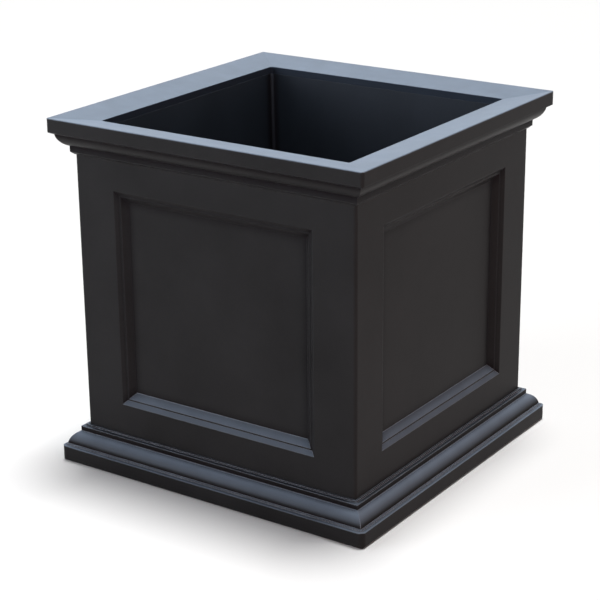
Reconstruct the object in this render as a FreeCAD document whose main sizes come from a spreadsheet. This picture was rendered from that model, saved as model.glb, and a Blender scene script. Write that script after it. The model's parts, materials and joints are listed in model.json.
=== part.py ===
import FreeCAD, Part

import math
import os
import re

import Sketcher

# Square floor planter, double-walled and self-watering, with a crown moulding round its rim,
# a base moulding round its foot and a framed panel sunk in each of its four faces.
# Millimetres, +Z up. The origin is the middle of the footprint on the floor.
# The front of the planter faces -Y. Names that end in half are distances from the middle to a face.

document = FreeCAD.newDocument("square_planter")

# Driving sizes

SIZES = {
    # Rim and crown moulding, from the top down
    "rim_top": 506.0,
    "rim_overhang": 26.5,
    "rim_corner_radius": 4.5,
    "rim_edge_radius": 1.5,
    "deck_width": 53.3,
    "opening_corner_radius": 5.0,
    "deck_drop": 8.0,
    "deck_wall": 5.0,
    "lip_depth": 10.0,
    "fascia_height": 19.5,
    "soffit_drop": 3.5,
    "soffit_width": 7.0,
    "crown_quirk": 0.6,
    "crown_ovolo_width": 13.5,
    "crown_ovolo_height": 17.2,
    "ovolo_bulge_share": 0.133,
    "crown_band_height": 8.3,
    "crown_cove_height": 4.0,
    "crown_lap": 16.5,
    "crown_web": 4.0,
    # Body shell
    "body_half": 227.5,
    "body_wall": 5.0,
    "body_corner_radius": 4.5,
    "stile_width": 65.0,
    "top_rail": 42.0,
    "bottom_rail": 44.7,
    "panel_depth": 12.0,
    "frame_slope_width": 5.9,
    "frame_slope_depth": 4.5,
    "frame_flat_width": 2.4,
    "frame_cove_width": 9.8,
    "frame_hollow_share": 0.05,
    # Base skirt, from the floor up
    "foot_reveal": 1.0,
    "plinth_overhang": 29.5,
    "plinth_height": 22.2,
    "plinth_corner_radius": 8.0,
    "plinth_foot_radius": 2.5,
    "plinth_top_radius": 1.2,
    "plinth_ledge": 4.8,
    "ledge_fall": 0.4,
    "step_width": 2.2,
    "step_height": 1.3,
    "base_ovolo_width": 13.5,
    "base_ovolo_height": 16.5,
    "base_quirk": 0.8,
    "skirt_band_height": 7.0,
    "skirt_lip_height": 2.0,
    "skirt_lip_width": 3.0,
    "skirt_wall": 5.0,
    "skirt_flange_width": 17.0,
    "skirt_flange": 6.0,
    "skirt_lap": 19.0,
    # Base plate
    "plate_wall": 6.0,
    "plate_gap": 0.5,
    # Inner tub and the reservoir it stands on
    "tub_wall": 4.0,
    "tub_flange": 5.0,
    "tub_gap": 1.5,
    "tub_draft_angle": 3.0,
    "tub_corner_radius": 5.0,
    "ledge_width": 14.0,
    "stand_radius": 8.0,
    "stand_height": 10.0,
    "stand_inset": 46.6,
    # Screws
    "screw_radius": 2.0,
    "screw_head_radius": 3.75,
    "screw_head_height": 2.5,
    "screw_socket_radius": 1.5,
    "screw_socket_depth": 1.4,
    "screw_bite": 7.0,
    "thread_gap": 0.05,
    "screw_gap": 0.3,
    "tip_gap": 1.0,
    "head_recess": 3.0,
    "screw_place_share": 0.44,
    "rim_boss_radius": 6.0,
    "rim_boss_height": 8.8,
    # Foot pads
    "pad_radius": 16.0,
    "pad_inset": 45.0,
    "pad_stem_radius": 4.0,
    "pad_edge": 1.0,
    # Soil platform
    "platform_wall": 5.0,
    "platform_gap": 1.5,
    "seep_radius": 3.5,
    "seep_steps": 5,
    "seep_edge": 29.0,
    "seep_margin": 8.0,
    # Wick cups
    "cup_inset": 71.6,
    "cup_top_radius": 32.0,
    "cup_foot_radius": 24.0,
    "cup_wall": 2.0,
    "cup_flange_radius": 38.0,
    "cup_slot_width": 4.0,
    "cup_slot_margin": 14.0,
    "cup_slots": 8,
    # Fill pipe and its cap
    "pipe_inset": 38.6,
    "pipe_radius": 16.0,
    "pipe_wall": 2.0,
    "pipe_drop": 51.0,
    "pipe_dip": 40.0,
    "collar_width": 4.0,
    "collar_wall": 3.0,
    "cap_wall": 4.0,
    "cap_overhang": 3.0,
    "cap_spigot": 10.0,
    "cap_spigot_wall": 2.0,
    "cap_grip_width": 5.0,
    "cap_grip_height": 6.0,
    # Water gauge
    "gauge_radius": 11.0,
    "gauge_wall": 1.5,
    "gauge_foot_gap": 2.0,
    "gauge_drain_radius": 4.0,
    "float_height": 20.0,
    "float_gap": 1.0,
    "float_rise": 40.0,
    "rod_radius": 1.5,
    "marker_radius": 6.0,
    "marker_height": 14.0,
    "lens_wall": 3.0,
    "lens_skirt": 8.0,
    # Overflow spout, its seal, nut and plug
    "ledge_rise": 29.5,
    "spout_radius": 11.0,
    "spout_bore_radius": 7.0,
    "spout_flange_radius": 17.0,
    "spout_flange": 3.0,
    "spout_tail": 4.0,
    "gasket_radius": 18.0,
    "gasket_wall": 2.0,
    "nut_radius": 17.0,
    "nut_wall": 8.0,
    "plug_length": 16.0,
    "plug_head_radius": 10.5,
    "plug_head": 4.0,
    # Shared clearances and the overrun of every cut
    "sliding_gap": 0.05,
    "fit_gap": 0.3,
    "overrun": 1.0,
}

sheet = document.addObject("Spreadsheet::Sheet", "Sizes")
for row, (alias, size) in enumerate(SIZES.items(), start=1):
    sheet.set(f"A{row}", alias)
    sheet.set(f"B{row}", str(size))
    sheet.setAlias(f"B{row}", alias)
document.recompute()

# Levels and widths of the crown, worked out from the driving sizes

RIM_HALF = "(body_half + rim_overhang)"
OPENING_HALF = f"({RIM_HALF} - deck_width)"
SOFFIT_TOP = "(rim_top - fascia_height)"
CROWN_OVOLO_TOP = f"({SOFFIT_TOP} - soffit_drop)"
CROWN_BAND_TOP = f"({CROWN_OVOLO_TOP} - crown_ovolo_height)"
CROWN_BAND_FOOT = f"({CROWN_BAND_TOP} - crown_band_height)"
CROWN_FOOT = f"({CROWN_BAND_FOOT} - crown_cove_height)"
BODY_TOP = f"({CROWN_FOOT} + crown_lap)"
WEB_TOP = f"({BODY_TOP} + crown_web)"
OPENING_TOP = "(rim_top - deck_drop)"
LIP_FOOT = f"({OPENING_TOP} - lip_depth)"
SOFFIT_HALF = f"({RIM_HALF} - soffit_width)"
CROWN_OVOLO_HALF = f"({SOFFIT_HALF} - crown_quirk)"
CROWN_OVOLO_FOOT_HALF = f"({CROWN_OVOLO_HALF} - crown_ovolo_width)"
CROWN_BAND_HALF = f"({CROWN_OVOLO_FOOT_HALF} - crown_quirk)"
SHELL_FIT_HALF = "(body_half + fit_gap)"
BODY_INNER_HALF = "(body_half - body_wall)"

# Levels and widths of the base

PLINTH_HALF = "(body_half + plinth_overhang)"
FLANGE_TOP = "(foot_reveal + skirt_flange)"
PLATE_TOP = f"({FLANGE_TOP} + plate_wall)"
PLATE_HALF = f"({PLINTH_HALF} - skirt_wall - plate_gap)"
PLINTH_TOP = "(foot_reveal + plinth_height)"
STEP_FOOT = f"({PLINTH_TOP} + ledge_fall)"
STEP_TOP = f"({STEP_FOOT} + step_height)"
STEP_BACK = f"({STEP_TOP} + ledge_fall)"
BASE_OVOLO_FOOT = f"({STEP_BACK} + base_quirk)"
BASE_OVOLO_TOP = f"({BASE_OVOLO_FOOT} + base_ovolo_height)"
BASE_BAND_FOOT = f"({BASE_OVOLO_TOP} + base_quirk)"
BASE_BAND_TOP = f"({BASE_BAND_FOOT} + skirt_band_height)"
SKIRT_LIP_FOOT = f"({BASE_BAND_TOP} + ledge_fall)"
SKIRT_LIP_TOP = f"({SKIRT_LIP_FOOT} + skirt_lip_height)"
SKIRT_TOP = f"({SKIRT_LIP_TOP} + ledge_fall)"
COLLAR_FOOT = f"({SKIRT_TOP} - skirt_lap)"
PLINTH_INNER_HALF = f"({PLINTH_HALF} - skirt_wall)"
STEP_HALF = f"({PLINTH_HALF} - plinth_ledge)"
BASE_OVOLO_FOOT_HALF = f"({STEP_HALF} - step_width)"
BASE_OVOLO_TOP_HALF = f"({BASE_OVOLO_FOOT_HALF} - base_ovolo_width)"
BASE_BAND_HALF = f"({BASE_OVOLO_TOP_HALF} - base_quirk)"
SKIRT_LIP_HALF = "(body_half + skirt_lip_width)"

# The sunk panel of each face

PANEL_HALF = "(body_half - stile_width)"
PANEL_LOW = f"({SKIRT_TOP} + bottom_rail)"
PANEL_HIGH = f"({CROWN_FOOT} - top_rail)"

# Levels and widths of the tub, the reservoir and what stands in them

RESERVOIR_FOOT = f"({PLATE_TOP} + stand_height)"
SUMP_FLOOR = f"({RESERVOIR_FOOT} + tub_wall)"
SPOUT_HEIGHT = f"({SKIRT_TOP} + bottom_rail / 2)"
LEDGE_HEIGHT = f"({SPOUT_HEIGHT} + ledge_rise)"
LEDGE_HALF = f"({OPENING_HALF} - ({LIP_FOOT} - {LEDGE_HEIGHT}) * tan(tub_draft_angle))"
LEDGE_OUTER_HALF = f"({LEDGE_HALF} + tub_wall)"
TUB_OUTER_RADIUS = "(tub_corner_radius + tub_wall)"
SUMP_HALF = f"({LEDGE_HALF} - ledge_width)"
PLATFORM_HALF = f"({LEDGE_HALF} - platform_gap)"
PLATFORM_TOP = f"({LEDGE_HEIGHT} + platform_wall)"
SEEP_PITCH = f"(({PLATFORM_HALF} - seep_edge) / seep_steps)"
PIPE_TOP = "(rim_top - pipe_drop)"
PIPE_BORE = "(pipe_radius - pipe_wall)"
GAUGE_BORE = "(gauge_radius - gauge_wall)"
GAUGE_FOOT = f"({SUMP_FLOOR} + gauge_foot_gap)"
FLOAT_FOOT = f"({GAUGE_FOOT} + gauge_wall + fit_gap)"
MARKER_TOP = f"({PIPE_TOP} - float_rise - fit_gap)"

# Distances of the pieces that stand in the corners from the middle

STAND_PLACE = f"({SUMP_HALF} - stand_inset)"
CUP_PLACE = f"({SUMP_HALF} - cup_inset)"
PIPE_PLACE = f"({LEDGE_HALF} - pipe_inset)"
PAD_PLACE = f"({PLINTH_HALF} - pad_inset)"
STAND_SPOTS = [(STAND_PLACE, STAND_PLACE)]
FILL_SPOT = (PIPE_PLACE, f"-{PIPE_PLACE}")
GAUGE_SPOT = (f"-{PIPE_PLACE}", f"-{PIPE_PLACE}")

# Places of the screws

SCREW_PLACE = "(body_half * screw_place_share)"
THREAD_RADIUS = "(screw_radius + thread_gap)"
SHANK_HOLE_RADIUS = "(screw_radius + screw_gap)"
HEAD_HOLE_RADIUS = "(screw_head_radius + screw_gap)"
RIM_SCREW_HALF = f"(({OPENING_HALF} + tub_wall + {BODY_INNER_HALF}) / 2)"
BASE_SCREW_HALF = f"({PLINTH_HALF} - (skirt_wall + skirt_flange_width) / 2)"
RIM_SCREW_SPOTS = [(f"-{SCREW_PLACE}", f"-{RIM_SCREW_HALF}"), (SCREW_PLACE, f"-{RIM_SCREW_HALF}")]
BASE_SCREW_SPOTS = [(f"-{SCREW_PLACE}", f"-{BASE_SCREW_HALF}"), (SCREW_PLACE, f"-{BASE_SCREW_HALF}")]

SIDES = 4
FULL_TURN = 360
HEXAGON = 6
SHARE_DIGITS = 9
SAME_PLACE = 0.01


# Sizes as expressions and as numbers

def bound(text):
    """Write the sheet's name in front of each of its aliases in an expression."""
    def with_sheet(word):
        return f"Sizes.{word.group()}" if word.group() in SIZES else word.group()
    return re.sub(r"[a-z_]+", with_sheet, re.sub(r"tan\((\w+)\)", r"tan(\1 * 1deg)", text))


def number(text):
    """Value of an expression at the sheet's present sizes."""
    return float(sheet.evalExpression(bound(text)))


def bulge_radius(width, height, share):
    """Radius of an arc whose bulge is a share of its chord, for the chord's width and height."""
    return f"(sqrt({width} ^ 2 + {height} ^ 2) * (1 + 4 * {share} ^ 2) / (8 * {share}))"


# Bodies and sketches

def new_body(label, place=("0", "0", "0"), turn=None):
    """Empty body, moved to a place given as three expressions and turned as a whole if asked."""
    body = document.addObject("PartDesign::Body", label)
    body.Label = label
    body.AllowCompound = True
    if turn:
        body.Placement = FreeCAD.Placement(FreeCAD.Vector(), turn)
    for axis, distance in zip("xyz", place):
        if distance != "0":
            body.setExpression(f"Placement.Base.{axis}", bound(distance))
    return body


def origin_feature(body, role):
    return next(feature for feature in body.Origin.OriginFeatures if feature.Role == role)


def new_sketch(body, name, plane="XY_Plane", offset="0"):
    """Sketch on one of the body's own origin planes, lifted off it along its normal."""
    sketch = body.newObject("Sketcher::SketchObject", f"{body.Label}_{name}")
    sketch.AttachmentSupport = [(origin_feature(body, plane), "")]
    sketch.MapMode = "FlatFace"
    if offset != "0":
        sketch.setExpression("AttachmentOffset.Base.z", bound(offset))
    return sketch


def pin(sketch, geometry, point, x, y):
    """Hold one point of a sketch at a place given as two expressions."""
    for kind, text in (("DistanceX", x), ("DistanceY", y)):
        index = sketch.addConstraint(Sketcher.Constraint(kind, -1, 1, geometry, point, number(text)))
        sketch.setExpression(f"Constraints[{index}]", bound(text))


def arc_between(start, end, radius, turn):
    """Minor arc from start to end. Turn is 1 to run anticlockwise and -1 to run clockwise."""
    chord = end - start
    middle = (start + end) * 0.5
    towards_centre = FreeCAD.Vector(-chord.y, chord.x, 0).normalize() * turn
    reach = math.sqrt(max(radius ** 2 - (chord.Length / 2) ** 2, 0))
    return Part.Arc(start, middle - towards_centre * (radius - reach), end)


def draw_loop(sketch, corners):
    """Closed outline through corners, each (x, y) or, where an arc leaves it, (x, y, radius, turn)."""
    points = [FreeCAD.Vector(number(corner[0]), number(corner[1]), 0) for corner in corners]
    ends = []
    for index, corner in enumerate(corners):
        start = points[index]
        end = points[(index + 1) % len(points)]
        if len(corner) == 2:
            geometry = sketch.addGeometry(Part.LineSegment(start, end))
            ends.append((geometry, 1, 2))
        else:
            geometry = sketch.addGeometry(arc_between(start, end, number(corner[2]), corner[3]))
            ends.append((geometry, 1, 2) if corner[3] > 0 else (geometry, 2, 1))
            radius = Sketcher.Constraint("Radius", geometry, number(corner[2]))
            sketch.setExpression(f"Constraints[{sketch.addConstraint(radius)}]", bound(corner[2]))
    for index, corner in enumerate(corners):
        geometry, first, last = ends[index]
        following, next_first, next_last = ends[(index + 1) % len(ends)]
        sketch.addConstraint(Sketcher.Constraint("Coincident", geometry, last, following, next_first))
        pin(sketch, geometry, first, corner[0], corner[1])


def rounded_square(half, radius):
    """Corners of a square round the origin whose plan corners are rounded."""
    flat = f"({half} - {radius})"
    return [
        (flat, f"-{half}", radius, 1), (half, f"-{flat}"),
        (half, flat, radius, 1), (flat, half),
        (f"-{flat}", half, radius, 1), (f"-{half}", flat),
        (f"-{half}", f"-{flat}", radius, 1), (f"-{flat}", f"-{half}"),
    ]


def rectangle(left, right, low, high):
    return [(left, low), (right, low), (right, high), (left, high)]


def draw_circles(sketch, spots, radius):
    """One circle of the same radius at each spot. All are held in one step, which is quicker."""
    first = sketch.ConstraintCount
    constraints = []
    texts = []
    for x, y in spots:
        centre = FreeCAD.Vector(number(x), number(y), 0)
        geometry = sketch.addGeometry(Part.Circle(centre, FreeCAD.Vector(0, 0, 1), number(radius)))
        constraints.append(Sketcher.Constraint("Radius", geometry, number(radius)))
        constraints.append(Sketcher.Constraint("DistanceX", -1, 1, geometry, 3, number(x)))
        constraints.append(Sketcher.Constraint("DistanceY", -1, 1, geometry, 3, number(y)))
        texts.extend([radius, x, y])
    sketch.addConstraint(constraints)
    for index, text in enumerate(texts, start=first):
        sketch.setExpression(f"Constraints[{index}]", bound(text))


def draw_hexagons(sketch, spots, radius):
    """One hexagon at each spot, its corners at the radius."""
    for x, y in spots:
        corners = []
        for step in range(HEXAGON):
            angle = math.radians(FULL_TURN * step / HEXAGON)
            across_share = round(math.cos(angle), SHARE_DIGITS)
            along_share = round(math.sin(angle), SHARE_DIGITS)
            corners.append((f"{x} + {radius} * {across_share}", f"{y} + {radius} * {along_share}"))
        draw_loop(sketch, corners)


# Features

def pad(body, sketch, length, down=False):
    feature = body.newObject("PartDesign::Pad", f"{sketch.Label}_pad")
    feature.Profile = sketch
    feature.setExpression("Length", bound(length))
    feature.Reversed = down
    document.recompute()
    return feature


def cut(body, sketch, length, up=False):
    """Pocket that runs against the sketch's normal, or along it if up. It has to take volume away."""
    before = body.Tip.Shape.Volume
    feature = body.newObject("PartDesign::Pocket", f"{sketch.Label}_cut")
    feature.Profile = sketch
    feature.setExpression("Length", bound(length))
    feature.Reversed = up
    document.recompute()
    if feature.Shape.isNull() or feature.Shape.Volume >= before:
        raise RuntimeError(f"{feature.Label} cuts nothing")
    return feature


def sweep(body, kind, section, path):
    """Moulding or groove of one section round a path with mitred corners."""
    feature = body.newObject(f"PartDesign::{kind}", f"{section.Label}_sweep")
    feature.Profile = (section, [""])
    feature.Spine = (path, [""])
    feature.Transition = "Right corner"
    document.recompute()
    return feature


def loft(body, kind, low_sketch, high_sketch):
    feature = body.newObject(f"PartDesign::{kind}", f"{low_sketch.Label}_loft")
    feature.Profile = (low_sketch, [""])
    feature.Sections = [(high_sketch, [""])]
    feature.Ruled = True
    document.recompute()
    return feature


def round_the_middle(body, features, count=SIDES):
    """Repeat features evenly round the body's own Z axis."""
    pattern = body.newObject("PartDesign::PolarPattern", f"{features[-1].Label}_pattern")
    pattern.Originals = features
    pattern.Axis = (origin_feature(body, "Z_Axis"), [""])
    pattern.Angle = FULL_TURN
    pattern.Occurrences = int(count)
    body.Tip = pattern
    document.recompute()
    return pattern


def soften(body, name, wanted, radius):
    """Fillet on every edge of the body so far that the test names."""
    base = body.Tip
    names = [f"Edge{index}" for index, edge in enumerate(base.Shape.Edges, start=1) if wanted(edge)]
    if not names:
        raise RuntimeError(f"{body.Label} has no edge for {name}")
    feature = body.newObject("PartDesign::Fillet", f"{body.Label}_{name}")
    feature.Base = (base, names)
    feature.setExpression("Radius", bound(radius))
    document.recompute()
    if "Invalid" in feature.State:
        raise RuntimeError(f"{feature.Label} can't round its edges")
    return feature


def near(first, second):
    return abs(first - second) < SAME_PLACE


def upright_at(half):
    """Test for the vertical corner edges of a square of this half width."""
    def wanted(edge):
        box = edge.BoundBox
        on_corner = near(abs(box.XMin), number(half)) and near(abs(box.YMin), number(half))
        return on_corner and near(box.XLength, 0) and near(box.YLength, 0)
    return wanted


def trim_corners(body, half, radius, top, depth):
    """Round the plan corners of a square ring from a height downwards."""
    sketch = new_sketch(body, "corner_trim", offset=top)
    outside = f"({half} + overrun)"
    draw_loop(sketch, rectangle(f"-{outside}", outside, f"-{outside}", outside))
    draw_loop(sketch, rounded_square(half, radius))
    return cut(body, sketch, depth)


def square_ring(body, name, half, corners):
    """Moulding whose section, drawn as half widths and heights, runs round a square of this half width."""
    path = new_sketch(body, f"{name}_path")
    draw_loop(path, rectangle(f"-{half}", half, f"-{half}", half))
    section = new_sketch(body, f"{name}_section", "XZ_Plane")
    draw_loop(section, corners)
    return sweep(body, "AdditivePipe", section, path)


def turned(label, outline, place, turn=None):
    """Round piece: an outline of radii and heights turned about the body's own Z axis."""
    body = new_body(label, place, turn)
    section = new_sketch(body, "section", "XZ_Plane")
    draw_loop(section, outline)
    feature = body.newObject("PartDesign::Revolution", f"{label}_turned")
    feature.Profile = section
    feature.ReferenceAxis = (origin_feature(body, "Z_Axis"), [""])
    feature.Angle = FULL_TURN
    document.recompute()
    return body


def drill(body, name, foot, spots, radius, depth, count=SIDES, up=True):
    """Holes at the spots, repeated round the middle, that start at a height and run up or down."""
    sketch = new_sketch(body, name, offset=foot)
    draw_circles(sketch, spots, radius)
    hole = cut(body, sketch, depth, up)
    return round_the_middle(body, [hole], count) if count > 1 else hole


# Outer casing

def make_rim_frame():
    """Crown: sloping deck, lip round the opening, fascia, ovolo, band and the web over the body."""
    body = new_body("rim_frame")
    ovolo_radius = bulge_radius("crown_ovolo_width", "crown_ovolo_height", "ovolo_bulge_share")
    square_ring(body, "crown", RIM_HALF, [
        (SHELL_FIT_HALF, CROWN_FOOT),
        (CROWN_BAND_HALF, CROWN_BAND_FOOT),
        (CROWN_BAND_HALF, CROWN_BAND_TOP),
        (CROWN_OVOLO_FOOT_HALF, CROWN_BAND_TOP, ovolo_radius, 1),
        (CROWN_OVOLO_HALF, CROWN_OVOLO_TOP),
        (SOFFIT_HALF, CROWN_OVOLO_TOP),
        (RIM_HALF, SOFFIT_TOP),
        (RIM_HALF, "rim_top - rim_edge_radius", "rim_edge_radius", 1),
        (f"{RIM_HALF} - rim_edge_radius", "rim_top"),
        (OPENING_HALF, OPENING_TOP),
        (OPENING_HALF, LIP_FOOT),
        (f"{OPENING_HALF} + deck_wall", LIP_FOOT),
        (f"{OPENING_HALF} + deck_wall", f"{OPENING_TOP} - deck_wall"),
        (f"{RIM_HALF} - deck_wall", "rim_top - deck_wall"),
        (f"{RIM_HALF} - deck_wall", f"{SOFFIT_TOP} + soffit_drop"),
        (f"{CROWN_OVOLO_HALF} - deck_wall", f"{CROWN_OVOLO_TOP} + soffit_drop"),
        (CROWN_BAND_HALF, WEB_TOP),
        (BODY_INNER_HALF, WEB_TOP),
        (BODY_INNER_HALF, BODY_TOP),
        (SHELL_FIT_HALF, BODY_TOP),
    ])
    soften(body, "opening_corners", upright_at(OPENING_HALF), "opening_corner_radius")
    trim_corners(body, RIM_HALF, "rim_corner_radius", "rim_top", "fascia_height + soffit_drop")
    bosses = new_sketch(body, "bosses", offset=LIP_FOOT)
    draw_circles(bosses, RIM_SCREW_SPOTS, "rim_boss_radius")
    boss = pad(body, bosses, "rim_boss_height")
    round_the_middle(body, [boss])
    drill(body, "pilots", LIP_FOOT, RIM_SCREW_SPOTS, THREAD_RADIUS, "screw_bite + tip_gap")
    return body


def make_body_shell():
    """Square tube with a framed panel sunk in each face and its wall carried in behind the panel."""
    body = new_body("body_shell")
    ring = new_sketch(body, "ring", offset=PLATE_TOP)
    draw_loop(ring, rounded_square("body_half", "body_corner_radius"))
    inner = BODY_INNER_HALF
    draw_loop(ring, rectangle(f"-{inner}", inner, f"-{inner}", inner))
    pad(body, ring, f"{BODY_TOP} - {PLATE_TOP}")

    front = "body_half"
    backing = new_sketch(body, "backing", "XZ_Plane", f"{front} - body_wall")
    draw_loop(backing, rectangle(f"-{PANEL_HALF}", PANEL_HALF, PANEL_LOW, PANEL_HIGH))
    backing_pad = pad(body, backing, "panel_depth", down=True)

    frame_width = "(frame_slope_width + frame_flat_width + frame_cove_width)"
    inset = f"({frame_width} - overrun)"
    field = new_sketch(body, "field", "XZ_Plane", front)
    draw_loop(field, rectangle(
        f"-{PANEL_HALF} + {inset}", f"{PANEL_HALF} - {inset}",
        f"{PANEL_LOW} + {inset}", f"{PANEL_HIGH} - {inset}"))
    field_cut = cut(body, field, "panel_depth")

    path = new_sketch(body, "frame_path", "XZ_Plane", front)
    draw_loop(path, rectangle(f"-{PANEL_HALF}", PANEL_HALF, PANEL_LOW, PANEL_HIGH))
    section = new_sketch(body, "frame_section", "XY_Plane", f"({PANEL_LOW} + {PANEL_HIGH}) / 2")
    cove_depth = "(panel_depth - frame_slope_depth)"
    hollow_radius = bulge_radius("frame_cove_width", cove_depth, "frame_hollow_share")
    draw_loop(section, [
        (PANEL_HALF, f"-{front} - overrun"),
        (PANEL_HALF, f"-{front}"),
        (f"{PANEL_HALF} - frame_slope_width", f"-{front} + frame_slope_depth"),
        (f"{PANEL_HALF} - frame_slope_width - frame_flat_width", f"-{front} + frame_slope_depth",
         hollow_radius, 1),
        (f"{PANEL_HALF} - {frame_width}", f"-{front} + panel_depth"),
        (f"{PANEL_HALF} - {frame_width} - overrun", f"-{front} + panel_depth"),
        (f"{PANEL_HALF} - {frame_width} - overrun", f"-{front} - overrun"),
    ])
    frame_cut = sweep(body, "SubtractivePipe", section, path)
    round_the_middle(body, [backing_pad, field_cut, frame_cut])

    spout_hole = new_sketch(body, "spout_hole", "XZ_Plane", "-body_half - overrun")
    draw_circles(spout_hole, [("0", SPOUT_HEIGHT)], "spout_radius + fit_gap")
    cut(body, spout_hole, "body_wall + 2 * overrun", up=True)
    return body


def make_base_skirt():
    """Base moulding: lip round the body, band, ovolo, step, plinth and the flange under the plate."""
    body = new_body("base_skirt")
    ovolo_radius = bulge_radius("base_ovolo_width", "base_ovolo_height", "ovolo_bulge_share")
    flange_half = f"{PLINTH_HALF} - skirt_flange_width"
    square_ring(body, "base", PLINTH_HALF, [
        (f"{PLINTH_HALF} - plinth_foot_radius", "foot_reveal", "plinth_foot_radius", 1),
        (PLINTH_HALF, "foot_reveal + plinth_foot_radius"),
        (PLINTH_HALF, f"{PLINTH_TOP} - plinth_top_radius", "plinth_top_radius", 1),
        (f"{PLINTH_HALF} - plinth_top_radius", PLINTH_TOP),
        (STEP_HALF, STEP_FOOT),
        (STEP_HALF, STEP_TOP),
        (BASE_OVOLO_FOOT_HALF, STEP_BACK),
        (BASE_OVOLO_FOOT_HALF, BASE_OVOLO_FOOT, ovolo_radius, 1),
        (BASE_OVOLO_TOP_HALF, BASE_OVOLO_TOP),
        (BASE_BAND_HALF, BASE_BAND_FOOT),
        (BASE_BAND_HALF, BASE_BAND_TOP),
        (SKIRT_LIP_HALF, SKIRT_LIP_FOOT),
        (SKIRT_LIP_HALF, SKIRT_LIP_TOP),
        (SHELL_FIT_HALF, SKIRT_TOP),
        (SHELL_FIT_HALF, COLLAR_FOOT),
        (BASE_BAND_HALF, COLLAR_FOOT),
        (f"{BASE_OVOLO_FOOT_HALF} - skirt_wall", BASE_OVOLO_FOOT),
        (f"{BASE_OVOLO_FOOT_HALF} - skirt_wall", f"{PLINTH_TOP} - skirt_wall"),
        (PLINTH_INNER_HALF, f"{PLINTH_TOP} - skirt_wall"),
        (PLINTH_INNER_HALF, FLANGE_TOP),
        (flange_half, FLANGE_TOP),
        (flange_half, "foot_reveal"),
    ])
    trim_corners(body, PLINTH_HALF, "plinth_corner_radius", STEP_FOOT, "plinth_height + ledge_fall")
    drill(body, "head_holes", "foot_reveal", BASE_SCREW_SPOTS, HEAD_HOLE_RADIUS, "head_recess")
    drill(body, "shank_holes", "foot_reveal", BASE_SCREW_SPOTS, SHANK_HOLE_RADIUS, "skirt_flange")
    return body


def make_base_plate():
    """Floor of the casing, which carries the reservoir and has holes for screws and pad stems."""
    body = new_body("base_plate")
    slab = new_sketch(body, "slab", offset=FLANGE_TOP)
    draw_loop(slab, rounded_square(PLATE_HALF, "body_corner_radius"))
    pad(body, slab, "plate_wall")
    drill(body, "head_holes", FLANGE_TOP, STAND_SPOTS, HEAD_HOLE_RADIUS, "head_recess")
    drill(body, "shank_holes", FLANGE_TOP, STAND_SPOTS, SHANK_HOLE_RADIUS, "plate_wall")
    drill(body, "pilots", FLANGE_TOP, BASE_SCREW_SPOTS, THREAD_RADIUS, "plate_wall - tip_gap")
    stem_hole_radius = "pad_stem_radius + sliding_gap"
    drill(body, "stem_holes", FLANGE_TOP, [(PAD_PLACE, PAD_PLACE)], stem_hole_radius, "plate_wall")
    return body


# Tub and reservoir

def make_inner_tub():
    """Drafted walls round the soil, screwed to the rim by a flange and standing on the reservoir."""
    body = new_body("inner_tub")
    outer_low = new_sketch(body, "outer_low", offset=LEDGE_HEIGHT)
    draw_loop(outer_low, rounded_square(LEDGE_OUTER_HALF, TUB_OUTER_RADIUS))
    outer_high = new_sketch(body, "outer_high", offset=LIP_FOOT)
    draw_loop(outer_high, rounded_square(f"({OPENING_HALF} + tub_wall)", TUB_OUTER_RADIUS))
    loft(body, "AdditiveLoft", outer_low, outer_high)
    flange = new_sketch(body, "flange", offset=LIP_FOOT)
    draw_loop(flange, rounded_square(f"({BODY_INNER_HALF} - tub_gap)", TUB_OUTER_RADIUS))
    pad(body, flange, "tub_flange", down=True)

    inner_low = new_sketch(body, "inner_low", offset=LEDGE_HEIGHT)
    draw_loop(inner_low, rounded_square(LEDGE_HALF, "tub_corner_radius"))
    inner_high = new_sketch(body, "inner_high", offset=LIP_FOOT)
    draw_loop(inner_high, rounded_square(OPENING_HALF, "tub_corner_radius"))
    loft(body, "SubtractiveLoft", inner_low, inner_high)
    flange_foot = f"{LIP_FOOT} - tub_flange"
    drill(body, "flange_holes", flange_foot, RIM_SCREW_SPOTS, SHANK_HOLE_RADIUS, "tub_flange")
    return body


def make_reservoir():
    """Open tray for the water, with a ledge for the tub and the platform and four stands under it."""
    body = new_body("reservoir")
    tray = new_sketch(body, "tray", offset=RESERVOIR_FOOT)
    draw_loop(tray, rounded_square(f"({SUMP_HALF} + tub_wall)", TUB_OUTER_RADIUS))
    pad(body, tray, f"{LEDGE_HEIGHT} - {RESERVOIR_FOOT}")
    ledge = new_sketch(body, "ledge", offset=LEDGE_HEIGHT)
    draw_loop(ledge, rounded_square(LEDGE_OUTER_HALF, TUB_OUTER_RADIUS))
    pad(body, ledge, "tub_wall", down=True)
    hollow = new_sketch(body, "hollow", offset=LEDGE_HEIGHT)
    draw_loop(hollow, rounded_square(SUMP_HALF, "tub_corner_radius"))
    cut(body, hollow, f"{LEDGE_HEIGHT} - {SUMP_FLOOR}")
    stands = new_sketch(body, "stands", offset=RESERVOIR_FOOT)
    draw_circles(stands, STAND_SPOTS, "stand_radius")
    round_the_middle(body, [pad(body, stands, "stand_height", down=True)])
    drill(body, "pilots", PLATE_TOP, STAND_SPOTS, THREAD_RADIUS, "screw_bite + tip_gap")

    spout_hole = new_sketch(body, "spout_hole", "XZ_Plane", f"-{SUMP_HALF} - tub_wall - overrun")
    draw_circles(spout_hole, [("0", SPOUT_HEIGHT)], "spout_radius + fit_gap")
    cut(body, spout_hole, "tub_wall + 2 * overrun", up=True)
    return body


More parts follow.
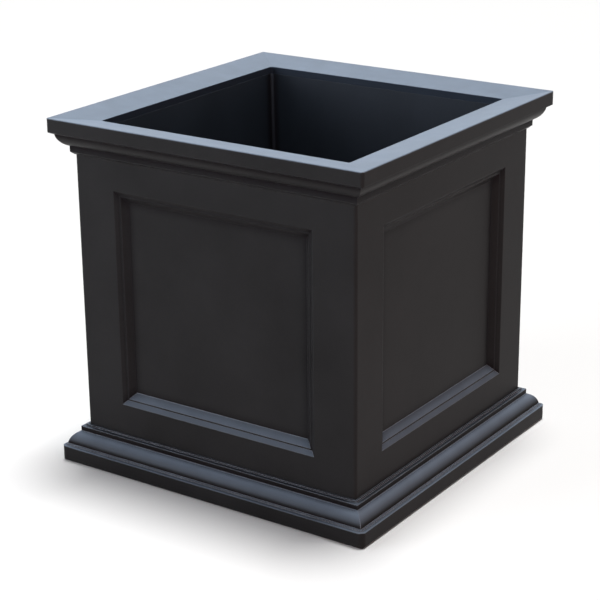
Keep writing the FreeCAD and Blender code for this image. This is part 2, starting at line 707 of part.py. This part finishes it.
def seep_spots():
    """Grid points of the platform that are clear of its edge, the cups and the collars of the pipes."""
    sides = [CUP_PLACE, f"-{CUP_PLACE}"]
    taken = [(x, y, "cup_flange_radius") for x in sides for y in sides]
    taken.append((*FILL_SPOT, "pipe_radius + collar_width"))
    taken.append((*GAUGE_SPOT, "gauge_radius + collar_width"))
    steps = int(number("seep_steps"))
    places = [f"{step} * {SEEP_PITCH}" for step in range(-steps, steps + 1)]

    def is_clear(spot, piece):
        across = number(f"{spot[0]} - {piece[0]}")
        along = number(f"{spot[1]} - {piece[1]}")
        return math.hypot(across, along) > number(f"{piece[2]} + seep_margin")
    grid = [(x, y) for x in places for y in places]
    return [spot for spot in grid if all(is_clear(spot, piece) for piece in taken)]


def make_soil_platform():
    """Perforated floor for the soil, resting on the ledge and pierced for cups and pipes."""
    body = new_body("soil_platform")
    slab = new_sketch(body, "slab", offset=LEDGE_HEIGHT)
    draw_loop(slab, rounded_square(PLATFORM_HALF, "tub_corner_radius"))
    pad(body, slab, "platform_wall")
    foot = LEDGE_HEIGHT
    drill(body, "cup_holes", foot, [(CUP_PLACE, CUP_PLACE)], "cup_top_radius + fit_gap", "platform_wall")
    drill(body, "pipe_hole", foot, [FILL_SPOT], "pipe_radius + sliding_gap", "platform_wall", count=1)
    drill(body, "gauge_hole", foot, [GAUGE_SPOT], "gauge_radius + sliding_gap", "platform_wall", count=1)
    drill(body, "seep_holes", foot, seep_spots(), "seep_radius", "platform_wall", count=1)
    return body


def make_wick_cup(label, x, y):
    """Slotted cup that hangs through the platform and dips the soil into the water."""
    foot = f"({SUMP_FLOOR} + fit_gap - {PLATFORM_TOP})"
    body = turned(label, [
        ("0", foot),
        ("cup_foot_radius", foot),
        ("cup_top_radius", "0"),
        ("cup_flange_radius", "0"),
        ("cup_flange_radius", "cup_wall"),
        ("cup_top_radius - cup_wall", "cup_wall"),
        ("cup_foot_radius - cup_wall", f"{foot} + cup_wall"),
        ("0", f"{foot} + cup_wall"),
    ], (x, y, PLATFORM_TOP))
    slot = new_sketch(body, "slot", "XZ_Plane")
    draw_loop(slot, rectangle(
        "-cup_slot_width / 2", "cup_slot_width / 2", f"{foot} + cup_slot_margin", "-cup_slot_margin"))
    round_the_middle(body, [cut(body, slot, "cup_top_radius")], number("cup_slots"))
    return body


def make_fill_pipe():
    """Pipe that takes the water past the soil, held in the platform by its collar."""
    return turned("fill_pipe", [
        (PIPE_BORE, "-pipe_dip"),
        ("pipe_radius", "-pipe_dip"),
        ("pipe_radius", "0"),
        ("pipe_radius + collar_width", "0"),
        ("pipe_radius + collar_width", "collar_wall"),
        ("pipe_radius", "collar_wall"),
        ("pipe_radius", f"{PIPE_TOP} - {PLATFORM_TOP}"),
        (PIPE_BORE, f"{PIPE_TOP} - {PLATFORM_TOP}"),
    ], (*FILL_SPOT, PLATFORM_TOP))


def make_fill_cap():
    """Cap of the fill pipe: a disc, the spigot that enters the pipe and a bar to pull it by."""
    spigot_radius = f"({PIPE_BORE} - sliding_gap)"
    body = turned("fill_cap", [
        ("0", "0"),
        (f"{spigot_radius} - cap_spigot_wall", "0"),
        (f"{spigot_radius} - cap_spigot_wall", "-cap_spigot"),
        (spigot_radius, "-cap_spigot"),
        (spigot_radius, "0"),
        ("pipe_radius + cap_overhang", "0"),
        ("pipe_radius + cap_overhang", "cap_wall"),
        ("0", "cap_wall"),
    ], (*FILL_SPOT, PIPE_TOP))
    grip = new_sketch(body, "grip", offset="cap_wall")
    draw_loop(grip, rectangle("-cap_grip_width / 2", "cap_grip_width / 2", f"-{PIPE_BORE}", PIPE_BORE))
    pad(body, grip, "cap_grip_height")
    return body


def make_gauge_pipe():
    """Slim pipe that guides the float, closed at its foot but for a hole that lets the water in."""
    foot = f"({GAUGE_FOOT} - {PLATFORM_TOP})"
    return turned("gauge_pipe", [
        ("gauge_drain_radius", foot),
        ("gauge_radius", foot),
        ("gauge_radius", "0"),
        ("gauge_radius + collar_width", "0"),
        ("gauge_radius + collar_width", "collar_wall"),
        ("gauge_radius", "collar_wall"),
        ("gauge_radius", f"{PIPE_TOP} - {PLATFORM_TOP}"),
        (GAUGE_BORE, f"{PIPE_TOP} - {PLATFORM_TOP}"),
        (GAUGE_BORE, f"{foot} + gauge_wall"),
        ("gauge_drain_radius", f"{foot} + gauge_wall"),
    ], (*GAUGE_SPOT, PLATFORM_TOP))


def make_gauge_float():
    """Float, its rod and the marker at the rod's head that shows the water level."""
    float_radius = f"({GAUGE_BORE} - float_gap)"
    marker_foot = f"({MARKER_TOP} - {FLOAT_FOOT} - marker_height)"
    return turned("gauge_float", [
        ("0", "0"),
        (float_radius, "0"),
        (float_radius, "float_height"),
        ("rod_radius", "float_height"),
        ("rod_radius", marker_foot),
        ("marker_radius", marker_foot),
        ("marker_radius", f"{marker_foot} + marker_height"),
        ("0", f"{marker_foot} + marker_height"),
    ], (*GAUGE_SPOT, FLOAT_FOOT))


def make_gauge_lens():
    """Clear cap on the gauge pipe."""
    return turned("gauge_lens", [
        ("0", "0"),
        ("gauge_radius + sliding_gap", "0"),
        ("gauge_radius + sliding_gap", "-lens_skirt"),
        ("gauge_radius + lens_wall", "-lens_skirt"),
        ("gauge_radius + lens_wall", "lens_wall"),
        ("0", "lens_wall"),
    ], (*GAUGE_SPOT, PIPE_TOP))


# Overflow at the back. Its round pieces are turned about +Y.

FACING_BACK = FreeCAD.Rotation(FreeCAD.Vector(1, 0, 0), -90)


def make_overflow_spout():
    """Flanged tube from the sump through both walls."""
    tail = f"({SUMP_HALF} - gasket_wall - nut_wall - spout_tail - body_half)"
    return turned("overflow_spout", [
        ("spout_bore_radius", tail),
        ("spout_radius", tail),
        ("spout_radius", "0"),
        ("spout_flange_radius", "0"),
        ("spout_flange_radius", "spout_flange"),
        ("spout_bore_radius", "spout_flange"),
    ], ("0", "body_half", SPOUT_HEIGHT), FACING_BACK)


def make_spout_gasket():
    """Rubber ring between the nut and the sump's wall."""
    return turned("spout_gasket", [
        ("spout_radius + sliding_gap", "-gasket_wall"),
        ("gasket_radius", "-gasket_wall"),
        ("gasket_radius", "0"),
        ("spout_radius + sliding_gap", "0"),
    ], ("0", SUMP_HALF, SPOUT_HEIGHT), FACING_BACK)


def make_spout_nut():
    """Hexagonal nut that draws the spout tight from inside the sump."""
    body = new_body("spout_nut", ("0", f"{SUMP_HALF} - gasket_wall", SPOUT_HEIGHT), FACING_BACK)
    blank = new_sketch(body, "blank")
    draw_hexagons(blank, [("0", "0")], "nut_radius")
    draw_circles(blank, [("0", "0")], "spout_radius + thread_gap")
    pad(body, blank, "nut_wall", down=True)
    return body


def make_overflow_plug():
    """Stopper pushed into the spout from outside."""
    return turned("overflow_plug", [
        ("0", "-plug_length"),
        ("spout_bore_radius - sliding_gap", "-plug_length"),
        ("spout_bore_radius - sliding_gap", "0"),
        ("plug_head_radius", "0"),
        ("plug_head_radius", "plug_head"),
        ("0", "plug_head"),
    ], ("0", "body_half + spout_flange", SPOUT_HEIGHT), FACING_BACK)


# Screws and feet

def make_screws(label, spots, seat, reach):
    """Socket-head screws that point up from their seats, repeated round the middle."""
    body = new_body(label)
    heads = new_sketch(body, "heads", offset=seat)
    draw_circles(heads, spots, "screw_head_radius")
    head = pad(body, heads, "screw_head_height", down=True)
    shanks = new_sketch(body, "shanks", offset=seat)
    draw_circles(shanks, spots, "screw_radius")
    shank = pad(body, shanks, reach)
    sockets = new_sketch(body, "sockets", offset=f"{seat} - screw_head_height")
    draw_hexagons(sockets, spots, "screw_socket_radius")
    socket = cut(body, sockets, "screw_socket_depth", up=True)
    round_the_middle(body, [head, shank, socket])
    return body


def make_foot_pad(label, x, y):
    """Rubber pad under the base plate, held by a stem."""
    return turned(label, [
        ("0", f"-{FLANGE_TOP}"),
        ("pad_radius - pad_edge", f"-{FLANGE_TOP}"),
        ("pad_radius", f"-{FLANGE_TOP} + pad_edge"),
        ("pad_radius", "0"),
        ("pad_stem_radius", "0"),
        ("pad_stem_radius", "plate_wall"),
        ("0", "plate_wall"),
    ], (x, y, FLANGE_TOP))


CORNERS = {
    "front_left": ("-", "-"),
    "front_right": ("", "-"),
    "back_left": ("-", ""),
    "back_right": ("", ""),
}

subparts = [
    make_rim_frame(),
    make_body_shell(),
    make_base_skirt(),
    make_base_plate(),
    make_inner_tub(),
    make_reservoir(),
    make_soil_platform(),
    make_fill_pipe(),
    make_fill_cap(),
    make_gauge_pipe(),
    make_gauge_float(),
    make_gauge_lens(),
    make_overflow_spout(),
    make_spout_gasket(),
    make_spout_nut(),
    make_overflow_plug(),
    make_screws("rim_screws", RIM_SCREW_SPOTS, f"({LIP_FOOT} - tub_flange)", "tub_flange + screw_bite"),
    make_screws("base_screws", BASE_SCREW_SPOTS, "(foot_reveal + head_recess)",
                "skirt_flange - head_recess + plate_wall - 2 * tip_gap"),
    make_screws("reservoir_screws", STAND_SPOTS, f"({FLANGE_TOP} + head_recess)",
                "plate_wall - head_recess + screw_bite"),
]
for corner, (x_sign, y_sign) in CORNERS.items():
    subparts.append(make_wick_cup(f"wick_cup_{corner}", f"{x_sign}{CUP_PLACE}", f"{y_sign}{CUP_PLACE}"))
    subparts.append(make_foot_pad(f"foot_pad_{corner}", f"{x_sign}{PAD_PLACE}", f"{y_sign}{PAD_PLACE}"))

# Checks, then one STEP file for each sub-part

document.recompute()
for item in document.Objects:
    if "Invalid" in item.State or "Error" in item.State:
        raise RuntimeError(f"{item.Label} failed: {item.State}")
for subpart in subparts:
    if subpart.Shape.isNull() or not subpart.Shape.isValid() or not subpart.Shape.Solids:
        raise RuntimeError(f"{subpart.Label} has no valid solid")

os.makedirs("parts", exist_ok=True)
for subpart in subparts:
    subpart.Shape.exportStep(os.path.join("parts", f"{subpart.Label}.step"))
    print(subpart.Label, len(subpart.Shape.Solids), round(subpart.Shape.Volume / 1000, 2), "cm3")
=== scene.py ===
import json
import math

import bpy
from mathutils import Matrix, Vector

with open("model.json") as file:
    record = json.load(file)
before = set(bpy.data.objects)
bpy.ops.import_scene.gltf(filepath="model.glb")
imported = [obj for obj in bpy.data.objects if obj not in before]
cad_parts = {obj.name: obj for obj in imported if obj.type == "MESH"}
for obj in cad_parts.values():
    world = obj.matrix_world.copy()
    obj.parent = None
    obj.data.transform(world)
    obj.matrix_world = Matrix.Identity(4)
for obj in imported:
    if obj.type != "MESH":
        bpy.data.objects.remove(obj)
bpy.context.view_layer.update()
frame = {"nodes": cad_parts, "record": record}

# Square planter in black moulded resin. Lengths are in metres, +Z is up, and the front faces -Y.


def add_object(name, data):
    made = bpy.data.objects.new(name, data)
    bpy.context.scene.collection.objects.link(made)
    return made


# Camera of the photograph, with its angles in degrees. Sideways and upwards move it across its own view.

AZIMUTH = 34.477
ELEVATION = 19.755
ROLL = -0.572
DISTANCE = 2.57729
AIM_HEIGHT = 0.254
SIDEWAYS = -0.01117
UPWARDS = -0.034361
FOCAL_PIXELS = 1797.864
PICTURE_PIXELS = 600
SENSOR_MM = 36.0
CLIP_END = 100


def make_camera():
    azimuth, elevation, roll = (math.radians(angle) for angle in (AZIMUTH, ELEVATION, ROLL))
    level = math.cos(elevation)
    back = Vector((math.sin(azimuth) * level, -math.cos(azimuth) * level, math.sin(elevation)))
    right = Vector((math.cos(azimuth), math.sin(azimuth), 0))
    up = back.cross(right)
    across = right * math.cos(roll) + up * math.sin(roll)
    upright = up * math.cos(roll) - right * math.sin(roll)
    place = Vector((0, 0, AIM_HEIGHT)) + back * DISTANCE + right * SIDEWAYS + up * UPWARDS
    camera = add_object("camera", bpy.data.cameras.new("camera"))
    camera.data.sensor_width = SENSOR_MM
    camera.data.lens = FOCAL_PIXELS * SENSOR_MM / PICTURE_PIXELS
    camera.data.clip_end = CLIP_END
    camera.matrix_world = Matrix.Translation(place) @ Matrix((across, upright, back)).transposed().to_4x4()
    bpy.context.scene.camera = camera


# Node trees

# Places of the colours among the Mix node's inputs, and of their mix among its outputs
FIRST_COLOUR = 6
SECOND_COLOUR = 7
MIXED_COLOUR = 2

EDGE_SAMPLES = 6
OPENNESS_SAMPLES = 8

# Cosine of the turn from the true normal to the rounded one, on a flat face and on an edge
FLAT_COSINE = 0.997
EDGE_COSINE = 0.95

# Noise mostly keeps within this range
NOISE_SPAN = (0.3, 0.7)


class Tree:
    """Node tree of a material or of the world. It is emptied first, and the methods add nodes to it."""

    def __init__(self, owner):
        owner.use_nodes = True
        self.nodes = owner.node_tree.nodes
        self.links = owner.node_tree.links
        self.nodes.clear()

    def feed(self, socket, value):
        """Link the socket to another node's output, or set it where the value is plain."""
        if isinstance(value, bpy.types.NodeSocket):
            self.links.new(value, socket)
        else:
            socket.default_value = value

    def add(self, kind, *values, **settings):
        """Add a node and feed its first sockets with the values.

        A setting with a capital feeds the socket of that name, and any other one sets a property.
        """
        node = self.nodes.new(kind)
        for name, value in settings.items():
            if name[0].isupper():
                self.feed(node.inputs[name.replace("_", " ")], value)
            else:
                setattr(node, name, value)
        for socket, value in zip(node.inputs, values):
            self.feed(socket, value)
        return node

    def math(self, operation, *values):
        return self.add("ShaderNodeMath", *values, operation=operation).outputs[0]

    def product(self, first, *others):
        for other in others:
            first = self.math("MULTIPLY", first, other)
        return first

    def mix(self, share, first, second):
        """Colour between two colours."""
        node = self.add("ShaderNodeMix", data_type="RGBA", Factor=share)
        self.feed(node.inputs[FIRST_COLOUR], first)
        self.feed(node.inputs[SECOND_COLOUR], second)
        return node.outputs[MIXED_COLOUR]

    def ramp(self, value, span, result=(0.0, 1.0)):
        """Straight ramp from one range to another, held at both ends."""
        return self.add("ShaderNodeMapRange", value, *span, *result).outputs[0]

    def place(self):
        """Place in the object, which is the place in the world when nothing is moved."""
        return self.add("ShaderNodeTexCoord").outputs["Object"]

    def noise(self, scale, detail=2.0, roughness=0.5, stretch=(1, 1, 1)):
        """Noise that sticks to the object, with features about one over scale metres wide."""
        mapping = self.add("ShaderNodeMapping", Vector=self.place(), Scale=stretch)
        return self.add("ShaderNodeTexNoise", Vector=mapping.outputs[0], Scale=scale, Detail=detail,
                        Roughness=roughness).outputs["Fac"]

    def bump(self, texture, height, strength, normal=None):
        node = self.add("ShaderNodeBump", Height=texture, Distance=height, Strength=strength)
        if normal is not None:
            self.feed(node.inputs["Normal"], normal)
        return node.outputs[0]

    def edges(self, radius):
        """Normal rounded over the edges, and a mask that is 1 on them and 0 on flat faces."""
        rounded = self.add("ShaderNodeBevel", samples=EDGE_SAMPLES, Radius=radius).outputs[0]
        true = self.add("ShaderNodeNewGeometry").outputs["Normal"]
        cosine = self.add("ShaderNodeVectorMath", rounded, true, operation="DOT_PRODUCT").outputs["Value"]
        return rounded, self.ramp(cosine, (FLAT_COSINE, EDGE_COSINE))

    def upward(self, normal):
        """How far a normal points up: 1 straight up and -1 straight down."""
        return self.add("ShaderNodeSeparateXYZ", normal).outputs["Z"]

    def openness(self, reach, local=False):
        """How open a point is within this reach: 1 in the open and less beside a wall.

        Local leaves out the walls of other pieces.
        """
        return self.add("ShaderNodeAmbientOcclusion", samples=OPENNESS_SAMPLES, only_local=local,
                        Distance=reach).outputs["AO"]

    def within(self, half):
        """1 inside the upright square tunnel of this half width round the middle, and 0 outside."""
        parts = self.add("ShaderNodeSeparateXYZ", self.place()).outputs
        across = self.math(
            "MAXIMUM", self.math("ABSOLUTE", parts["X"]), self.math("ABSOLUTE", parts["Y"]))
        return self.math("LESS_THAN", across, half)

    def seen(self):
        """1 for rays of the camera, of reflections and of transmission, and 0 for those that only light."""
        path = self.add("ShaderNodeLightPath").outputs
        direct = self.math("MAXIMUM", path["Is Camera Ray"], path["Is Glossy Ray"])
        return self.math("MAXIMUM", direct, path["Is Transmission Ray"])

    def principled(self, **sockets):
        self.finish(self.add("ShaderNodeBsdfPrincipled", **sockets))

    def finish(self, shader, output="ShaderNodeOutputMaterial"):
        self.add(output, Surface=shader.outputs[0])


# Materials

# Pale colour painted on rounded edges that face up: a painted highlight where the edges catch the sky.
PAINTED_EDGE_HIGHLIGHT = (0.34, 0.36, 0.40, 1)
# Dark colour painted into creases and recesses: painted shade.
PAINTED_CREASE_SHADE = (0.004, 0.002, 0.003, 1)
# Pale bluish film painted on open faces that face up: a painted reflection of the sky.
SKY_SHEEN_PAINT = (0.165, 0.200, 0.252, 1)
# Paler bluish tone painted inside the opening: a painted sheen standing in for the lit, reflecting tub wall.
INNER_SHEEN_PAINT = (0.060, 0.076, 0.105, 1)

# How near a wall has to be for the painted shade in a crease, and to thin the painted sky reflection
PAINTED_SHADE_REACH = 0.016
SHEEN_REACH = 0.025

# Half the width of the opening, inside which a piece with painted inner sheen has the paler bluish tone
# painted in
INNER_SHEEN_HALF = 0.2010

# How much the fine grain adds to the mottling and to the roughness, and how far the clouds move the roughness
SPECK_MOTTLE = 0.35
SPECK_DULLNESS = 0.06
DULLNESS_SPREAD = 0.035

materials = {}


def new_tree(name):
    """Tree of a new material, which materials keeps under this name."""
    materials[name] = bpy.data.materials.new(name)
    return Tree(materials[name])


def grey(level, tint=(1, 1, 1)):
    return (level * tint[0], level * tint[1], level * tint[2], 1)


def resin(name, dark, light, roughness, specular, grain=0.5, painted_edge_highlight=0.35, edge=0.0012, streaks=1.0, painted_sky_sheen=0.0,
          painted_inner_sheen=False):
    """Moulded resin: cloudy between two colours, with a fine grain, slight waves, pale edges painted as
    highlights and painted shade in creases.

    Edge is the radius of the rounded edges, whose pale colour is a painted highlight where they face up.
    Streaks below 1 draw the clouds out in height. The sky sheen share is the share of the pale bluish film
    painted on whatever lies open and faces up, a painted sky reflection. A piece with painted inner sheen has
    a paler bluish tone painted inside the opening, a painted sheen standing in for the lit tub wall.
    """
    tree = new_tree(name)
    cloud = tree.noise(scale=7.0, detail=4.0, roughness=0.6, stretch=(1, 1, streaks))
    speck = tree.noise(scale=420.0, detail=3.0, roughness=0.65)
    wave = tree.noise(scale=26.0)
    rounded, mask = tree.edges(edge)
    upward = tree.upward(rounded)

    # Painted highlight: the pale edge colour comes in where a rounded edge faces up to the sky, in random
    # patches.
    sky_lit_edges = tree.ramp(upward, (0.05, 0.4), (0.05, 1.0))
    patches = tree.ramp(tree.noise(scale=60.0, detail=3.0), (0.35, 0.65), (0.75 * painted_edge_highlight, painted_edge_highlight))
    edge_wear_and_highlight = tree.product(mask, sky_lit_edges, patches)
    mottling = tree.ramp(tree.math("ADD", cloud, tree.product(speck, SPECK_MOTTLE)), (0.45, 0.9))
    mottled = tree.mix(mottling, dark, light)
    # Painted shade: creases and recesses that this piece's own walls hide turn dark.
    painted_crease_shade = tree.ramp(tree.openness(PAINTED_SHADE_REACH, local=True), (0.84, 0.99), (1.0, 0.0))
    colour = tree.mix(edge_wear_and_highlight, tree.mix(painted_crease_shade, mottled, PAINTED_CREASE_SHADE), PAINTED_EDGE_HIGHLIGHT)
    # Painted sky reflection: a pale bluish film on faces that face up, thinned beside walls as painted shade.
    if painted_sky_sheen:
        open_to_sky = tree.ramp(tree.openness(SHEEN_REACH), (0.70, 0.90), (0.05, 1.0))
        level = tree.ramp(upward, (0.3, 0.8))
        uneven = tree.ramp(wave, (0.2, 0.8), (0.8, 1.0))
        colour = tree.mix(tree.product(open_to_sky, level, uneven, painted_sky_sheen), colour, SKY_SHEEN_PAINT)
    # Painted sheen: inside the opening the colour turns paler and bluish, as the lit tub wall looks.
    if painted_inner_sheen:
        colour = tree.mix(tree.within(INNER_SHEEN_HALF), colour, INNER_SHEEN_PAINT)

    dullness = tree.math(
        "ADD", tree.ramp(cloud, NOISE_SPAN, (roughness - DULLNESS_SPREAD, roughness + DULLNESS_SPREAD)),
        tree.product(speck, SPECK_DULLNESS))
    fine = tree.bump(speck, height=0.00025, strength=grain, normal=rounded)
    relief = tree.bump(wave, height=0.0006, strength=0.25, normal=fine)
    tree.principled(Base_Color=colour, Roughness=dullness, Specular_IOR_Level=specular, Normal=relief)


def rubber(name, dark, light, edge_wear_and_highlight):
    """Dull rubber with a fine grain, paler on its edges."""
    tree = new_tree(name)
    speck = tree.noise(scale=900.0, detail=3.0, roughness=0.6)
    cloud = tree.noise(scale=40.0)
    rounded, mask = tree.edges(radius=0.0006)
    colour = tree.mix(tree.ramp(cloud, NOISE_SPAN), dark, light)
    tree.principled(
        Base_Color=tree.mix(tree.product(mask, 0.3), colour, edge_wear_and_highlight),
        Roughness=tree.ramp(speck, NOISE_SPAN, (0.72, 0.86)), Specular_IOR_Level=0.3,
        Normal=tree.bump(speck, height=0.0002, strength=0.6, normal=rounded))


def steel(name, dark, light):
    """Bright steel with fine level marks."""
    tree = new_tree(name)
    brush = tree.noise(scale=300.0, detail=4.0, roughness=0.6, stretch=(1, 1, 12))
    rounded, _ = tree.edges(radius=0.0003)
    tree.principled(
        Base_Color=tree.mix(brush, dark, light), Metallic=1.0,
        Roughness=tree.ramp(brush, NOISE_SPAN, (0.24, 0.4)),
        Normal=tree.bump(brush, height=0.0001, strength=0.3, normal=rounded))


def clear_resin(name, dark, light):
    """Clear resin with a slight haze and ripple."""
    tree = new_tree(name)
    haze = tree.noise(scale=120.0, detail=3.0)
    tree.principled(
        Base_Color=tree.mix(haze, dark, light), Transmission_Weight=0.95, IOR=1.49,
        Roughness=tree.ramp(haze, NOISE_SPAN, (0.02, 0.08)),
        Normal=tree.bump(tree.noise(scale=40.0), height=0.0003, strength=0.2))


def lacquer(name, dark, light, edge_wear_and_highlight):
    """Glossy coloured resin, paler on its edges."""
    tree = new_tree(name)
    cloud = tree.noise(scale=60.0, detail=3.0)
    speck = tree.noise(scale=700.0)
    rounded, mask = tree.edges(radius=0.0005)
    colour = tree.mix(tree.ramp(cloud, NOISE_SPAN), dark, light)
    tree.principled(
        Base_Color=tree.mix(tree.product(mask, 0.25), colour, edge_wear_and_highlight),
        Roughness=tree.ramp(speck, NOISE_SPAN, (0.2, 0.3)), Coat_Weight=0.3, Coat_Roughness=0.1,
        Normal=tree.bump(cloud, height=0.0003, strength=0.2, normal=rounded))


CASING_TINT = (1.0, 0.97, 1.0)
# Bluish tint painted into the tub's dark colour: painted blue sky light on its walls.
TUB_SKY_TINT = (0.84, 0.97, 1.3)

resin("casing_resin", dark=grey(0.018, CASING_TINT), light=grey(0.025, CASING_TINT),
      roughness=0.31, specular=0.04, grain=0.3, painted_edge_highlight=0.9, painted_sky_sheen=1.0, painted_inner_sheen=True)
resin("tub_resin", dark=grey(0.013, TUB_SKY_TINT), light=grey(0.02, TUB_SKY_TINT),
      roughness=0.42, specular=0.14, painted_edge_highlight=0.1, edge=0.0006, streaks=0.35)
resin("platform_resin", dark=grey(0.022), light=grey(0.036), roughness=0.5, specular=0.3, grain=0.7, painted_edge_highlight=0.5)
resin("fitting_resin", dark=grey(0.012), light=grey(0.019),
      roughness=0.34, specular=0.35, grain=0.3, painted_edge_highlight=0.4, edge=0.0007)
resin("cap_resin", dark=(0.022, 0.064, 0.105, 1), light=(0.03, 0.082, 0.13, 1),
      roughness=0.34, specular=0.4, grain=0.3, edge=0.0007)
lacquer("float_resin", dark=(0.46, 0.018, 0.010, 1), light=(0.58, 0.03, 0.014, 1), edge_wear_and_highlight=(0.85, 0.45, 0.38, 1))
clear_resin("lens_resin", dark=(0.9, 0.95, 0.97, 1), light=(0.97, 0.99, 1.0, 1))
rubber("rubber", dark=grey(0.006), light=grey(0.0108), edge_wear_and_highlight=grey(0.12))
steel("steel", dark=(0.5, 0.5, 0.51, 1), light=(0.66, 0.66, 0.67, 1))


def dress(piece, made):
    """Give every material slot of a piece the same material."""
    if not piece.material_slots:
        piece.data.materials.append(made)
    for place in piece.material_slots:
        place.material = made


for subpart in frame["record"]["subparts"]:
    dress(frame["nodes"][subpart["node"]], materials[subpart["material_slot"]])

# Floor and world. The glow lifts the floor to white where it is seen, and lights nothing.

FLOOR_HALF = 14.0
FLOOR_COLOUR = (0.9, 0.9, 0.9, 1)
FLOOR_GLOW = 0.03
BACKDROP_COLOUR = (1, 1, 1, 1)
WORLD_COLOUR = (0.95, 0.98, 1.0, 1)
WORLD_LIGHT = 0.09


def make_floor():
    corners = [(x * FLOOR_HALF, y * FLOOR_HALF, 0) for x, y in ((-1, -1), (1, -1), (1, 1), (-1, 1))]
    mesh = bpy.data.meshes.new("floor")
    mesh.from_pydata(corners, [], [(0, 1, 2, 3)])
    floor = add_object("floor", mesh)
    tree = new_tree("floor")
    diffuse = tree.add("ShaderNodeBsdfDiffuse", Color=FLOOR_COLOUR)
    glow = tree.add("ShaderNodeEmission", Strength=tree.product(tree.seen(), FLOOR_GLOW))
    tree.finish(tree.add("ShaderNodeAddShader", diffuse.outputs[0], glow.outputs[0]))
    dress(floor, materials["floor"])


def make_world():
    world = bpy.data.worlds.new("world")
    bpy.context.scene.world = world
    tree = Tree(world)
    light = tree.add("ShaderNodeBackground", Color=WORLD_COLOUR, Strength=WORLD_LIGHT)
    backdrop = tree.add("ShaderNodeBackground", Color=BACKDROP_COLOUR)
    both = tree.add("ShaderNodeMixShader", tree.seen(), light.outputs[0], backdrop.outputs[0])
    tree.finish(both, "ShaderNodeOutputWorld")


# Lamps

SKY_COLOUR = (0.68, 0.82, 1.0)
SKY_REACH = 3.4
SKY_WIDTH = 6.8
SKY_TOP = 3.5
BAND_TALL = 1.65
LOW_BAND = 1.05
HIGH_BAND = 2.7


def sun(name, towards, spread, colour, level):
    """Wide soft sun. A white surface that faces it renders at this level."""
    light = bpy.data.lights.new(name, "SUN")
    light.angle = math.radians(spread)
    light.color = colour
    light.energy = level * math.pi
    lamp = add_object(name, light)
    lamp.rotation_euler = Vector(towards).to_track_quat("Z", "Y").to_euler()


def panel(name, place, aim, width, height, colour, radiance, only_glossy=False):
    """Soft rectangular lamp whose face has this radiance."""
    light = bpy.data.lights.new(name, "AREA")
    light.shape = "RECTANGLE"
    light.size = width
    light.size_y = height
    light.color = colour
    light.energy = radiance * width * height * math.pi
    lamp = add_object(name, light)
    lamp.location = place
    lamp.rotation_euler = (Vector(aim) - Vector(place)).to_track_quat("-Z", "Y").to_euler()
    lamp.visible_camera = False
    lamp.visible_diffuse = not only_glossy


def sky(name, place, aim, height, radiance):
    """Panel of the box of soft sky that only reflections see."""
    panel(name, place, aim, SKY_WIDTH, height, SKY_COLOUR, radiance, only_glossy=True)


def sky_side(name, x, y, low, high):
    """One side of the box of sky, in a low band and a high band with these radiances."""
    for band, height, radiance in (("low", LOW_BAND, low), ("high", HIGH_BAND, high)):
        sky(f"{name}_{band}", (x * SKY_REACH, y * SKY_REACH, height), (0, 0, height), BAND_TALL, radiance)


make_camera()
make_floor()
make_world()
sun("key", towards=(0.025, 0.185, 1.4), spread=18.5, colour=(1.0, 0.995, 0.985), level=0.98)
panel("left_fill", place=(-2.4, -3.0, 1.3), aim=(0, 0, 0.25), width=2.4, height=1.8,
      colour=(0.89, 0.93, 1.0), radiance=4.2)
panel("warm_fill", place=(3.2, -1.4, 0.45), aim=(0, 0, 0.3), width=1.6, height=0.8,
      colour=(1.0, 0.3, 0.16), radiance=4.0)
sky_side("sky_back", 0, 1, low=0.5, high=2.2)
sky_side("sky_left", -1, 0, low=0.8, high=2.4)
sky_side("sky_front", 0, -1, low=5.0, high=3.5)
sky_side("sky_right", 1, 0, low=0.8, high=0.8)
sky("sky_top", (0, 0, SKY_TOP), (0, 0, 0), height=SKY_WIDTH, radiance=6.0)

bpy.context.scene.view_settings.view_transform = "Standard"
